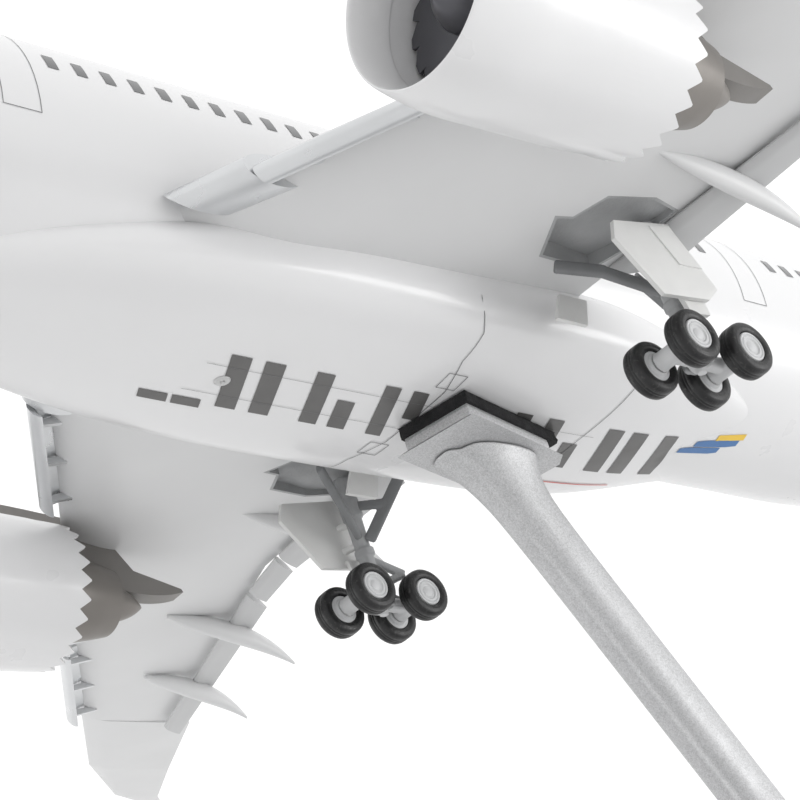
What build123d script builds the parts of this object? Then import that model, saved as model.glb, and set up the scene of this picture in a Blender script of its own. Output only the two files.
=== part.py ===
from build123d import *
import math
import os

# Desktop airliner model, 1:200, wheels and flaps down, on a cast display stand.
# Millimetres. +Z up, nose towards -Y, port wing towards +X.
# The origin is on the desk, under the middle of the saddle that carries the aircraft.

os.makedirs("parts", exist_ok=True)

# --- driving dimensions -------------------------------------------------------------
LENGTH = 314.0            # nose to tail cone
HALF_SPAN = 150.3
AXIS_Z = 134.0            # height of the fuselage axis above the desk
GEAR_Y = 5.0              # main gear station, a little behind the saddle
GEAR_STATION = 157.2      # main gear behind the nose
NOSE_Y = GEAR_Y - GEAR_STATION

HULL_HALF_WIDTH = 14.43
HULL_HALF_HEIGHT = 14.93
WALL = 1.4                # moulded plastic wall

# hull rings: station behind the nose, half width, half height, rise of the centre
NOSE_RINGS = (
    (0.0, 0.9, 0.8, -3.2), (1.0, 2.8, 2.6, -3.15), (4.0, 5.6, 5.2, -3.0),
    (10.0, 8.8, 8.4, -2.4), (18.0, 11.5, 11.3, -1.5), (30.0, 13.7, 13.9, -0.5),
    (44.0, HULL_HALF_WIDTH, HULL_HALF_HEIGHT, 0.0),
)
TAIL_RINGS = (
    (212.0, HULL_HALF_WIDTH, HULL_HALF_HEIGHT, 0.0), (232.0, 13.6, 13.9, 1.0),
    (255.0, 11.2, 11.3, 3.2), (280.0, 7.2, 7.6, 6.0), (300.0, 3.6, 4.4, 7.8),
    (LENGTH, 1.1, 1.7, 9.0),
)

# wing-body fairing rings: station, half width, top, bottom (from the axis), corner radius
FAIRING_RINGS = (
    (88.0, 10.0, -8.6, -14.0, 2.5), (98.0, 13.2, -6.0, -15.2, 4.2),
    (110.0, 14.8, -5.0, -15.9, 4.9), (134.0, 15.4, -4.6, -16.0, 5.2),
    (160.0, 15.3, -4.8, -16.0, 5.2), (174.0, 13.6, -6.4, -15.5, 4.0),
    (188.0, 9.4, -9.0, -14.2, 2.2),
)
BELLY_RISE = -16.0
BELLY_Z = AXIS_Z + BELLY_RISE

# wing ribs: distance from the centreline, leading edge station, chord, rise, thickness ratio,
# and the share of the thickness left at the trailing edge
INNER_RIBS = (
    (10.5, 107.0, 48.7, -7.2, 0.16, 0.40), (50.0, 133.0, 29.2, -4.3, 0.125, 0.26),
    (104.0, 168.5, 14.6, 0.6, 0.12, 0.12),
)
OUTER_RIBS = (
    (104.0, 168.5, 18.6, 0.6, 0.10, 0.06), (126.0, 183.4, 14.6, 3.4, 0.09, 0.06),
    (143.0, 199.0, 8.4, 6.4, 0.09, 0.06), (HALF_SPAN, 210.5, 3.0, 8.2, 0.09, 0.06),
)

TRACK_HALF = 26.0         # main gear leg from the centreline
AXLE_DROP = 22.8          # axles below the fuselage axis
AXLE_SPACING = 7.6
TYRE_SPACING = 5.9
TYRE_RADIUS = 2.9
TYRE_WIDTH = 2.3
HUB_RADIUS = 1.65
AXLE_RADIUS = 0.5
RUNNING = 0.05            # radial clearance of a turning shaft in its bore

NOSE_GEAR_STATION = 28.0
NOSE_TYRE_RADIUS = 2.3
NOSE_TYRE_WIDTH = 1.6
NOSE_HUB_RADIUS = 1.25
NOSE_TYRE_SPACING = 3.8

ENGINE_X = 49.6
ENGINE_RISE = -12.8       # engine axis from the fuselage axis
INTAKE_STATION = 105.0
NACELLE_LENGTH = 25.0
NOZZLE_RADIUS = 8.1
FAN_RADIUS = 7.3
FAN_STATION = 5.5         # fan disc behind the intake lip
FAN_BLADES = 18
CHEVRONS = 24
SHAFT_RADIUS = 1.0

SADDLE_YAW = 14.0         # the saddle plate is turned a little under the aircraft
PAD_SIZE = (8.6, 16.6)
PAD_THICKNESS = 1.3
PLATE_SIZE = (8.2, 16.2)
PLATE_THICKNESS = 1.9
ARM_LEAN = 34.5           # the arm leans aft on its way down
ARM_WIDTH = 4.1
ARM_DEPTH = 7.4          # along the stand, measured level
NECK_HEIGHT = 7.0
BASE_SIZE = (74.0, 138.0)
BASE_SHIFT = 31.0         # base centre behind the saddle
BASE_THICKNESS = 7.0
FELT_THICKNESS = 0.8
PAD_GAP = 0.15            # the aircraft lifts off the pad


def station_plane(station, rise=0.0, across=0.0):
    """Plane across the aircraft at a station, local x to starboard and local y up."""
    origin = (across, NOSE_Y + station, AXIS_Z + rise)
    return Plane(origin=origin, x_dir=(-1, 0, 0), z_dir=(0, 1, 0))


def rib_plane(across, station, rise):
    """Plane along the aircraft, facing port, local x aft and local y up."""
    origin = (across, NOSE_Y + station, AXIS_Z + rise)
    return Plane(origin=origin, x_dir=(0, 1, 0), z_dir=(1, 0, 0))


def level_plane(rise):
    """Horizontal plane at a height from the fuselage axis."""
    return Plane.XY.offset(AXIS_Z + rise)


def save(part, name):
    part.label = name
    export_step(part, f"parts/{name}.step")


def save_pair(part, name):
    """Write a port piece and its starboard mirror image."""
    save(part, f"{name}_left")
    save(mirror(part, about=Plane.YZ), f"{name}_right")


def largest(part):
    """The main solid of a part, without offcuts."""
    return Part() + part.solids().sort_by(SortBy.VOLUME)[-1]


# --- forms shared by several pieces ---------------------------------------------------
def airfoil(chord, thickness, upper=0.6, tail=0.06):
    """Wing section with its leading edge at the origin.

    upper is the share of the thickness above the chord, tail the share left at the back.
    """
    top, bottom = upper * thickness, (upper - 1) * thickness
    waist = 0.56 + 0.44 * tail
    with BuildSketch() as section:
        with BuildLine():
            Spline(
                (chord, tail * top), (0.72 * chord, waist * top), (0.32 * chord, top),
                (0.06 * chord, 0.62 * top), (0, 0), (0.06 * chord, 0.62 * bottom),
                (0.32 * chord, bottom), (0.72 * chord, waist * bottom), (chord, tail * bottom),
            )
            Line((chord, tail * bottom), (chord, tail * top))
        make_face()
    return section.sketch


def wing_panel(ribs):
    with BuildPart() as panel:
        for across, station, chord, rise, ratio, tail in ribs:
            with BuildSketch(rib_plane(across, station, rise)):
                add(airfoil(chord, ratio * chord, tail=tail))
        loft(ruled=True)
    return panel.part


def wing_form():
    with BuildPart() as wing:
        add(wing_panel(INNER_RIBS))
        add(wing_panel(OUTER_RIBS))
    return wing.part


def hull_form(inset, nose_rings, tail_rings):
    """Hull drawn in by inset, from the first nose ring to the last tail ring."""
    first, last = nose_rings[-1][0], tail_rings[0][0]
    with BuildPart() as hull:
        for rings in (nose_rings, tail_rings):
            for station, half_width, half_height, rise in rings:
                with BuildSketch(station_plane(station, rise)):
                    Ellipse(half_width - inset, half_height - inset)
            loft()
        with BuildSketch(station_plane(first)):
            Ellipse(HULL_HALF_WIDTH - inset, HULL_HALF_HEIGHT - inset)
        extrude(amount=last - first)
    return hull.part


def fairing_form():
    with BuildPart() as form:
        for station, half_width, top, bottom, corner in FAIRING_RINGS:
            with BuildSketch(station_plane(station, (top + bottom) / 2)):
                RectangleRounded(2 * half_width, top - bottom, corner)
        loft()
    return form.part


WING = wing_form()
WINGS = (WING, mirror(WING, about=Plane.YZ))
HULL = hull_form(0, NOSE_RINGS, TAIL_RINGS)
FAIRING = fairing_form()


def rib_between(across, ribs=INNER_RIBS):
    """Leading edge station, chord and rise of the inner wing at a distance out."""
    for inner, outer in zip(ribs, ribs[1:]):
        if across <= outer[0]:
            share = (across - inner[0]) / (outer[0] - inner[0])
            return [inner[i] + share * (outer[i] - inner[i]) for i in (1, 2, 3)]
    raise ValueError("beyond the inner wing")


# --- fuselage -----------------------------------------------------------------------
SCREW_STATION = 119.5
SCREW_RADIUS = 0.9
SCREW_HEAD_RADIUS = 1.5
SCREW_HEAD_HEIGHT = 1.0
NOSE_WELL = (5.0, 15.0)   # nose wheel well, width and length
WELL_TOP = -7.0
BOSS_RADIUS = 3.2


def nose_well(shrink, top):
    with BuildPart() as well:
        with BuildSketch(level_plane(-18)):
            with Locations((0, NOSE_Y + NOSE_GEAR_STATION - 4)):
                RectangleRounded(NOSE_WELL[0] - 2 * shrink, NOSE_WELL[1] - 2 * shrink, 1)
        extrude(amount=18 + top)
    return well.part


def make_fuselage():
    """Two hollow moulded halves that meet on the centreline."""
    with BuildPart() as whole:
        add(HULL)
        add(hull_form(WALL, NOSE_RINGS[3:], TAIL_RINGS[:-1]), mode=Mode.SUBTRACT)
        with Locations((0, NOSE_Y + SCREW_STATION, AXIS_Z - 10.5)):
            Cylinder(BOSS_RADIUS, 7)
        with Locations((0, NOSE_Y + SCREW_STATION, AXIS_Z - 12)):
            Cylinder(SCREW_RADIUS, 12, mode=Mode.SUBTRACT)
        add(nose_well(0, WELL_TOP), mode=Mode.SUBTRACT)
        for wing in WINGS:
            add(wing, mode=Mode.SUBTRACT)
    for side, keep in (("left", Keep.TOP), ("right", Keep.BOTTOM)):
        with BuildPart() as half:
            add(whole.part)
            split(bisect_by=Plane.YZ, keep=keep)
        save(largest(half.part), f"fuselage_{side}")


def make_nose_well():
    """Grey box around the nose wheel well."""
    with BuildPart() as box:
        add(nose_well(0.02, WELL_TOP))
        add(nose_well(0.5, WELL_TOP - 0.5), mode=Mode.SUBTRACT)
        add(HULL, mode=Mode.INTERSECT)
    save(largest(box.part), "nose_wheel_well")


def make_nose_weight():
    """Steel slug in the nose that lets the model sit on its own wheels."""
    with BuildPart() as slug:
        with BuildSketch(station_plane(46, 1.0)):
            Ellipse(10.5, 8.0)
        extrude(amount=12)
        fillet(slug.edges().group_by(Axis.Y)[0], 0.8)
    save(slug.part, "nose_weight")


STRIP_WIDTH = 4.6
STRIP_START = 115.0
STRIP_END = 169.0
STRIP_DEPTH = 0.7
STRIP_PROUD = 0.1


def keel_strip(grow=0.0):
    """Long rounded strip let into the belly."""
    with BuildPart() as strip:
        with BuildSketch(level_plane(BELLY_RISE - STRIP_PROUD)):
            with Locations((0, NOSE_Y + (STRIP_START + STRIP_END) / 2)):
                RectangleRounded(
                    STRIP_WIDTH + 2 * grow, STRIP_END - STRIP_START + 2 * grow, 1.2
                )
        extrude(amount=STRIP_PROUD + STRIP_DEPTH + grow)
    return strip.part


def screw_head_hole():
    with BuildPart() as hole:
        with BuildSketch(level_plane(BELLY_RISE - 1)):
            with Locations((0, NOSE_Y + SCREW_STATION)):
                Circle(SCREW_HEAD_RADIUS + 0.05)
        extrude(amount=1 + SCREW_HEAD_HEIGHT)
        with BuildSketch(level_plane(BELLY_RISE)):
            with Locations((0, NOSE_Y + SCREW_STATION)):
                Circle(SCREW_RADIUS)
        extrude(amount=4)
    return hole.part


def make_belly():
    """Wing-body fairing under the hull, its keel strip and the screw that holds them."""
    with BuildPart() as fairing:
        add(FAIRING)
        add(HULL, mode=Mode.SUBTRACT)
        for wing in WINGS:
            add(wing, mode=Mode.SUBTRACT)
        add(keel_strip(0.03), mode=Mode.SUBTRACT)
        add(screw_head_hole(), mode=Mode.SUBTRACT)
    save(largest(fairing.part), "belly_fairing")

    with BuildPart() as strip:
        add(keel_strip())
        add(screw_head_hole(), mode=Mode.SUBTRACT)
    save(strip.part, "keel_strip")

    with BuildPart() as screw:
        with BuildSketch(level_plane(BELLY_RISE + 0.05)):
            with Locations((0, NOSE_Y + SCREW_STATION)):
                Circle(SCREW_HEAD_RADIUS)
        extrude(amount=SCREW_HEAD_HEIGHT - 0.1)
        chamfer(screw.edges().group_by(Axis.Z)[0], 0.25)
        with BuildSketch(level_plane(BELLY_RISE + SCREW_HEAD_HEIGHT - 0.1)):
            with Locations((0, NOSE_Y + SCREW_STATION)):
                Circle(SCREW_RADIUS - 0.03)
        extrude(amount=6)
        with BuildSketch(level_plane(BELLY_RISE + 0.05)):
            with Locations((0, NOSE_Y + SCREW_STATION)):
                Rectangle(1.9, 0.4)
                Rectangle(0.4, 1.9)
        extrude(amount=0.5, mode=Mode.SUBTRACT)
    save(screw.part, "belly_screw")


# --- wings and what hangs on them -----------------------------------------------------
# wheel bay outline in the port wing: distance out, distance behind the gear station
BAY_OUTLINE = (
    (19.6, -10.6), (25.3, -13.3), (25.7, -11.2), (29.3, -9.5), (30.4, -3.6),
    (29.4, 0.6), (23.4, -0.5), (18.9, -2.6),
)
BAY_FLOOR = -5.8
LINER = 0.35


def bay_prism(grow, top):
    """Upright prism over the wheel bay outline."""
    with BuildPart() as prism:
        with BuildSketch(level_plane(-20)):
            with BuildLine():
                Polyline([(x, GEAR_Y + y) for x, y in BAY_OUTLINE], close=True)
            make_face()
            offset(amount=grow, kind=Kind.INTERSECTION)
        extrude(amount=20 + top)
    return prism.part


def make_wing():
    with BuildPart() as wing:
        add(WING)
        add(bay_prism(0.02, BAY_FLOOR), mode=Mode.SUBTRACT)
    save_pair(largest(wing.part), "wing")


def make_wheel_bay():
    """Grey tray that lines the wheel bay in the underside of the wing."""
    with BuildPart() as tray:
        add(bay_prism(0.01, BAY_FLOOR - 0.01))
        add(WING, mode=Mode.INTERSECT)
        add(FAIRING, mode=Mode.SUBTRACT)
        add(bay_prism(-LINER, BAY_FLOOR - LINER), mode=Mode.SUBTRACT)
    save_pair(largest(tray.part), "wheel_bay")


SLAT_SPANS = ((20.5, 41.0), (56.0, 78.5), (79.5, 102.5))
SLAT_CHORD = 5.0
SLAT_REACH = 2.6          # how far the slats run out ahead of the wing
SLAT_SINK = 1.5


def slat_section():
    """Curved slat section, its nose at the origin."""
    top, mouth = (0.86 * SLAT_CHORD, 1.7), (0.34 * SLAT_CHORD, -1.05)
    with BuildSketch() as section:
        with BuildLine():
            Spline(top, (0.35 * SLAT_CHORD, 1.3), (0, 0), (0.10 * SLAT_CHORD, -0.75), mouth)
            Spline(mouth, (0.22 * SLAT_CHORD, -0.1), (0.45 * SLAT_CHORD, 0.8), top)
        make_face()
    return section.sketch


def make_slats():
    """Leading edge slats, run out on short brackets."""
    with BuildPart() as slats:
        for inner, outer in SLAT_SPANS:
            for across in (inner, outer):
                station, chord, rise = rib_between(across)
                with BuildSketch(rib_plane(across, station - SLAT_REACH, rise - SLAT_SINK)):
                    add(slat_section())
            loft(ruled=True)
            for share in (0.12, 0.5, 0.88):
                across = inner + share * (outer - inner)
                station, chord, rise = rib_between(across)
                plane = rib_plane(across, station - SLAT_REACH, rise - SLAT_SINK)
                with BuildSketch(plane):
                    with BuildLine():
                        Polyline((1.5, -0.5), (1.5, 0.3), (5.2, 1.5), (5.2, 0.6), close=True)
                    make_face()
                extrude(amount=0.6)
        add(WING, mode=Mode.SUBTRACT)
    slat_solids = slats.part.solids().filter_by(lambda solid: solid.volume > 1)
    save_pair(Part() + slat_solids, "slats")


# flap panels: inner end, outer end, chord at each
FLAP_PANELS = ((19.5, 45.0, 7.4, 5.0), (46.0, 55.5, 5.0, 4.8), (56.5, 103.0, 5.6, 4.6))
FLAP_DROOP = 28.0
FLAP_SINK = 1.4


def flap_body(inner, outer, inner_chord, outer_chord):
    """One drooped flap panel just below the fixed trailing edge."""
    with BuildPart() as flap:
        for across, chord in ((inner, inner_chord), (outer, outer_chord)):
            station, wing_chord, rise = rib_between(across)
            hinge = rib_plane(across, station + wing_chord - 1.0, rise - FLAP_SINK)
            with BuildSketch(hinge.rotated((0, 0, -FLAP_DROOP))):
                add(airfoil(chord, 0.2 * chord))
        loft(ruled=True)
    return flap.part


def make_flaps():
    for name, panels in (("flap_inboard", FLAP_PANELS[:2]), ("flap_outboard", FLAP_PANELS[2:])):
        with BuildPart() as flap:
            for panel in panels:
                add(flap_body(*panel))
            add(WING, mode=Mode.SUBTRACT)
        save_pair(flap.part, name)


POD_STATIONS = ((36.0, 21.0), (66.0, 19.0), (86.0, 16.0))


def make_flap_pods():
    """Canoe fairings over the flap tracks."""
    rings = ((0.0, 0.25, -1.2), (0.28, 1.2, -1.9), (0.62, 1.4, -3.0), (1.0, 0.2, -6.2))
    with BuildPart() as pods:
        for across, length in POD_STATIONS:
            station, chord, rise = rib_between(across)
            start = station + chord - 0.55 * length
            for share, radius, sink in rings:
                with BuildSketch(station_plane(start + share * length, rise + sink, across)):
                    Ellipse(0.72 * radius, radius)
            loft()
        add(WING, mode=Mode.SUBTRACT)
        for panel in FLAP_PANELS:
            add(flap_body(*panel), mode=Mode.SUBTRACT)
    solids = pods.part.solids().filter_by(lambda solid: solid.volume > 3)
    save_pair(Part() + solids, "flap_track_pods")


def make_landing_light():
    """Lamp housing that fills the wing root ahead of the inboard slat."""
    with BuildPart() as housing:
        for across, length, half_height in ((12.6, 6.2, 1.5), (20.2, 6.8, 1.7)):
            station, chord, rise = rib_between(across)
            with BuildSketch(rib_plane(across, station - 3.0, rise - 0.5)):
                with Locations((length / 2, 0)):
                    Ellipse(length / 2, half_height)
        loft(ruled=True)
        for form in (WING, HULL, FAIRING):
            add(form, mode=Mode.SUBTRACT)
    save_pair(largest(housing.part), "landing_light")


# --- engines --------------------------------------------------------------------------
# an engine is built round the Z axis, aft upwards, and then laid along the aircraft
ENGINE_PLACE = Plane(
    origin=(ENGINE_X, NOSE_Y + INTAKE_STATION, AXIS_Z + ENGINE_RISE),
    x_dir=(1, 0, 0), z_dir=(0, 1, 0),
).location
BULKHEAD_STATION = 9.5
DUCT_RADIUS = FAN_RADIUS + 0.3


def nozzle_notch():
    """Wedge between two teeth of the saw-tooth nozzle, pointing forward."""
    tooth = 2 * math.pi * NOZZLE_RADIUS / CHEVRONS
    with BuildPart() as notch:
        with BuildSketch(Plane.YZ):
            with BuildLine():
                Polyline((-0.54 * tooth, 0.2), (0, -1.3), (0.54 * tooth, 0.2), close=True)
            make_face()
        extrude(amount=1.6, both=True)
    return notch.part


def make_nacelle():
    """Fan cowl with a rounded lip and a saw-tooth nozzle."""
    with BuildPart() as cowl:
        with BuildSketch(Plane.XZ):
            with BuildLine():
                Spline(
                    (NOZZLE_RADIUS + 0.25, NACELLE_LENGTH), (8.75, 17.0), (8.95, 9.0),
                    (8.6, 1.6), (8.15, 0), (7.85, 1.0), (DUCT_RADIUS, 4.0),
                )
                Line((DUCT_RADIUS, 4.0), (DUCT_RADIUS, 12.0))
                Spline((DUCT_RADIUS, 12.0), (7.8, 18.0), (NOZZLE_RADIUS - 0.15, NACELLE_LENGTH))
                Line(
                    (NOZZLE_RADIUS - 0.15, NACELLE_LENGTH), (NOZZLE_RADIUS + 0.25, NACELLE_LENGTH)
                )
            make_face()
        revolve(axis=Axis.Z)
        with Locations((0, 0, NACELLE_LENGTH)):
            with PolarLocations(NOZZLE_RADIUS, CHEVRONS, start_angle=9):
                add(nozzle_notch(), mode=Mode.SUBTRACT)
    return cowl.part


def make_core():
    """Bulkhead behind the fan, fan shaft, core cowl and exhaust plug, as one moulding."""
    with BuildPart() as core:
        with BuildSketch(Plane.XZ):
            with BuildLine():
                Polyline(
                    (0, FAN_STATION - 1.2), (SHAFT_RADIUS, FAN_STATION - 1.2),
                    (SHAFT_RADIUS, BULKHEAD_STATION), (DUCT_RADIUS, BULKHEAD_STATION),
                    (DUCT_RADIUS, BULKHEAD_STATION + 1), (6.0, BULKHEAD_STATION + 1.5),
                )
                Spline(
                    (6.0, BULKHEAD_STATION + 1.5), (6.1, 18.0), (5.2, 26.0), (3.9, 32.0)
                )
                Polyline((3.9, 32.0), (3.5, 32.0), (3.1, 30.2), (2.5, 30.2))
                Spline((2.5, 30.2), (2.3, 32.0), (1.3, 35.3), (0, 37.0))
                Line((0, 37.0), (0, FAN_STATION - 1.2))
            make_face()
        revolve(axis=Axis.Z)
    return core.part


def make_fan():
    """Spinner and swept blades, bored to turn on the shaft."""
    with BuildPart() as fan:
        with BuildSketch(Plane.XZ):
            with BuildLine():
                Spline((0, FAN_STATION - 3.4), (1.2, FAN_STATION - 2.4), (2.3, FAN_STATION - 0.6))
                Polyline(
                    (2.3, FAN_STATION - 0.6), (2.5, FAN_STATION + 2.4), (0, FAN_STATION + 2.4),
                    (0, FAN_STATION - 3.4),
                )
            make_face()
        revolve(axis=Axis.Z)
        for blade in range(FAN_BLADES):
            turn = 360 * blade / FAN_BLADES
            for radius, pitch, breadth in ((2.1, 35, 2.4), (4.8, 50, 2.7), (FAN_RADIUS - 0.1, 62, 2.5)):
                plane = Plane.XY.rotated((0, 0, turn)).offset(FAN_STATION + 0.9)
                spoke = Plane(
                    origin=plane.from_local_coords((radius, 0, 0)),
                    x_dir=plane.y_dir, z_dir=plane.x_dir,
                )
                with BuildSketch(spoke.rotated((0, 0, 90 - pitch))):
                    Rectangle(breadth, 0.34)
            loft()
        with Locations((0, 0, FAN_STATION)):
            Cylinder(FAN_RADIUS, 12, mode=Mode.INTERSECT)
        with Locations((0, 0, FAN_STATION + 0.9)):
            Cylinder(SHAFT_RADIUS + RUNNING, 4.4, mode=Mode.SUBTRACT)
    return fan.part


def make_engines():
    cowl = ENGINE_PLACE * make_nacelle()
    core = ENGINE_PLACE * make_core()
    save_pair(cowl, "nacelle")
    save_pair(core, "engine_core")
    save_pair(ENGINE_PLACE * make_fan(), "fan")
    with BuildPart() as pylon:
        with BuildSketch(rib_plane(ENGINE_X - 1.1, INTAKE_STATION, ENGINE_RISE)):
            with BuildLine():
                Spline((4.0, 8.6), (11.0, 10.6), (20.0, 10.8), (29.0, 10.0))
                Polyline((29.0, 10.0), (33.0, 8.0), (36.0, 4.2), (42.4, 2.5), (42.6, 2.1))
                Spline((42.6, 2.1), (37.7, 1.2), (31.0, 2.0), (24.0, 3.8))
                Polyline((24.0, 3.8), (12.0, 6.2), (4.0, 8.6))
            make_face()
        extrude(amount=2.2)
        for form in (WING, cowl, core):
            add(form, mode=Mode.SUBTRACT)
    save_pair(largest(pylon.part), "pylon")


# --- tail -----------------------------------------------------------------------------
def make_tail():
    # fin ribs: rise, leading edge station, chord
    with BuildPart() as fin:
        for rise, station, chord in ((11.0, 254.0, 42.0), (16.0, 263.0, 34.5), (59.3, 295.5, 16.0)):
            plane = Plane(
                origin=(0, NOSE_Y + station, AXIS_Z + rise), x_dir=(0, 1, 0), z_dir=(0, 0, 1)
            )
            with BuildSketch(plane):
                add(airfoil(chord, 0.1 * chord, upper=0.5))
        loft(ruled=True)
        add(HULL, mode=Mode.SUBTRACT)
    save(largest(fin.part), "fin")

    with BuildPart() as tailplane:
        for across, station, chord, rise in ((3.5, 271.5, 25.0, 7.6), (49.5, 304.5, 8.6, 12.6)):
            with BuildSketch(rib_plane(across, station, rise)):
                add(airfoil(chord, 0.095 * chord, upper=0.5))
        loft(ruled=True)
        add(HULL, mode=Mode.SUBTRACT)
    save_pair(largest(tailplane.part), "tailplane")


# --- landing gear -----------------------------------------------------------------------
def strut(start, end, radius):
    """Round bar between two points."""
    axis = Vector(*end) - Vector(*start)
    with BuildPart() as bar:
        with BuildSketch(Plane(origin=start, z_dir=axis)):
            Circle(radius)
        extrude(amount=axis.length)
    return bar.part


def flat_bar(start, end, width, thickness):
    """Flat bar between two points, its width in the upright plane that holds them."""
    axis = Vector(*end) - Vector(*start)
    side = axis.cross(Vector(0, 0, 1)).normalized()
    with BuildPart() as bar:
        with BuildSketch(Plane(origin=start, x_dir=side, z_dir=axis)):
            RectangleRounded(thickness, width, 0.25 * min(thickness, width))
        extrude(amount=axis.length)
    return bar.part


PIVOT = (TRACK_HALF, GEAR_Y, AXIS_Z - AXLE_DROP)
PIVOT_RADIUS = 0.55
BEAM_RADIUS = 0.85
LUG_WIDTH = 1.5           # bogie lug between the two ears of the leg
EAR = 0.7
LUG_GAP = 0.12
LEG_TOP = BAY_FLOOR - LINER - 0.12


def gear_point(across, behind, rise):
    """Point from the gear station and the fuselage axis."""
    return (across, GEAR_Y + behind, AXIS_Z + rise)


def main_leg():
    """Main gear leg with a fork for the bogie and a torque link behind."""
    fork_width = LUG_WIDTH + 2 * (LUG_GAP + EAR)
    with BuildPart() as leg:
        add(strut(gear_point(TRACK_HALF, -1.7, LEG_TOP), gear_point(TRACK_HALF, -0.4, -16.2), 1.25))
        add(strut(gear_point(TRACK_HALF, -0.4, -16.0), gear_point(TRACK_HALF, 0, -20.4), 0.9))
        with Locations(gear_point(TRACK_HALF, 0, -20.9)):
            Box(fork_width, 1.9, 2.4)
        with Locations(gear_point(TRACK_HALF, 0, -22.4)):
            Box(fork_width, 1.9, 1.6)
        with Locations(PIVOT):
            Cylinder(0.95, fork_width, rotation=(0, 90, 0))
            Box(LUG_WIDTH + 2 * LUG_GAP, 4, 2.8, mode=Mode.SUBTRACT)
            Cylinder(PIVOT_RADIUS, 8, rotation=(0, 90, 0), mode=Mode.SUBTRACT)
        for start, end in (((0.3, -16.4), (2.6, -18.4)), ((2.6, -18.2), (0.4, -20.2))):
            add(flat_bar(gear_point(TRACK_HALF, *start), gear_point(TRACK_HALF, *end), 0.6, 1.4))
    return leg.part


def make_gear_braces(leg):
    """Folding brace ahead of the leg and the forked side brace behind it."""
    bars = (
        (gear_point(19.9, -8.6, -11.6), gear_point(25.0, -1.0, -13.2), 1.5, 1.0),
        (gear_point(21.6, 4.6, -8.6), gear_point(25.2, 1.0, -15.6), 1.4, 0.9),
        (gear_point(23.2, 2.9, -11.9), gear_point(25.3, 0.6, -11.2), 1.1, 0.8),
    )
    with BuildPart() as braces:
        for start, end, width, thickness in bars:
            add(flat_bar(start, end, width, thickness))
        add(WING, mode=Mode.SUBTRACT)
        add(FAIRING, mode=Mode.SUBTRACT)
        add(leg, mode=Mode.SUBTRACT)
        add(flap_body(*FLAP_PANELS[0]), mode=Mode.SUBTRACT)
    save_pair(braces.part, "gear_braces")


# strut door outline: behind the gear station, below the fuselage axis
DOOR_OUTLINE = (
    (-9.0, -10.6), (-1.2, -9.6), (1.8, -14.1), (3.1, -15.6), (1.3, -16.9), (-5.3, -17.8),
    (-9.6, -12.6),
)
DOOR_OUT = 28.2
DOOR_THICKNESS = 0.6


def make_gear_doors(leg):
    """Door carried on the outer side of the leg, and the small door at the wing root."""
    with BuildPart() as door:
        with BuildSketch(rib_plane(DOOR_OUT, GEAR_STATION, 0)):
            with BuildLine():
                Polyline(DOOR_OUTLINE, close=True)
            make_face()
        extrude(amount=DOOR_THICKNESS)
        chamfer(door.edges().filter_by(Axis.X), 0.15)
        for rise in (-12.0, -15.0):
            with Locations(gear_point(TRACK_HALF, -0.8, rise)):
                Box(DOOR_OUT + 0.1 - TRACK_HALF, 1.0, 0.7, align=(Align.MIN, Align.CENTER, Align.CENTER))
        add(leg, mode=Mode.SUBTRACT)
    save_pair(door.part, "strut_door")

    with BuildPart() as root_door:
        with BuildSketch(rib_plane(17.6, GEAR_STATION, 0)):
            with BuildLine():
                Polyline((-7.4, -11.2), (-3.6, -11.2), (-4.6, -14.4), (-8.8, -14.4), close=True)
            make_face()
        extrude(amount=0.45)
        for form in (WING, FAIRING):
            add(form, mode=Mode.SUBTRACT)
    save_pair(largest(root_door.part), "root_door")


def make_bogie():
    """Bogie beam with a pivot lug and two cross tubes for the axles."""
    tube_length = TYRE_SPACING - 1.24 * TYRE_WIDTH - 0.2
    with BuildPart() as bogie:
        with Locations(PIVOT):
            Cylinder(1.15, LUG_WIDTH, rotation=(0, 90, 0))
            Cylinder(BEAM_RADIUS, AXLE_SPACING, rotation=(90, 0, 0))
            Cylinder(1.15, LUG_WIDTH + 4, rotation=(0, 90, 0), mode=Mode.SUBTRACT)
            Cylinder(1.15, LUG_WIDTH, rotation=(0, 90, 0))
            Box(LUG_WIDTH, AXLE_SPACING, 1.3)
        for end in (-1, 1):
            with Locations(gear_point(TRACK_HALF, end * AXLE_SPACING / 2, -AXLE_DROP)):
                Cylinder(0.95, tube_length, rotation=(0, 90, 0))
        for end in (-1, 1):
            with Locations(gear_point(TRACK_HALF, end * AXLE_SPACING / 2, -AXLE_DROP)):
                Cylinder(AXLE_RADIUS + RUNNING, 8, rotation=(0, 90, 0), mode=Mode.SUBTRACT)
        with Locations(PIVOT):
            Cylinder(PIVOT_RADIUS + RUNNING, 8, rotation=(0, 90, 0), mode=Mode.SUBTRACT)
    save_pair(bogie.part, "bogie")

    with BuildPart() as pin:
        with Locations(PIVOT):
            Cylinder(PIVOT_RADIUS, LUG_WIDTH + 2 * (LUG_GAP + EAR) + 0.2, rotation=(0, 90, 0))
        mirror(about=Plane.YZ)
    save(pin.part, "bogie_pins")


def tyre_pair(centre, spacing, radius, width, bore):
    """Two tyres side by side, turned round an axle across the aircraft."""
    with BuildPart() as pair:
        with BuildSketch(Plane(origin=centre, x_dir=(1, 0, 0), z_dir=(0, -1, 0))) as section:
            with GridLocations(spacing, 0, 2, 1):
                with Locations((0, (radius + bore) / 2)):
                    Rectangle(width, radius - bore)
            fillet(section.vertices().group_by(Axis.Y)[-1], 0.3 * width)
            fillet(section.vertices().group_by(Axis.Y)[0], 0.08 * width)
        revolve(axis=Axis(centre, (1, 0, 0)))
    return pair.part


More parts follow.
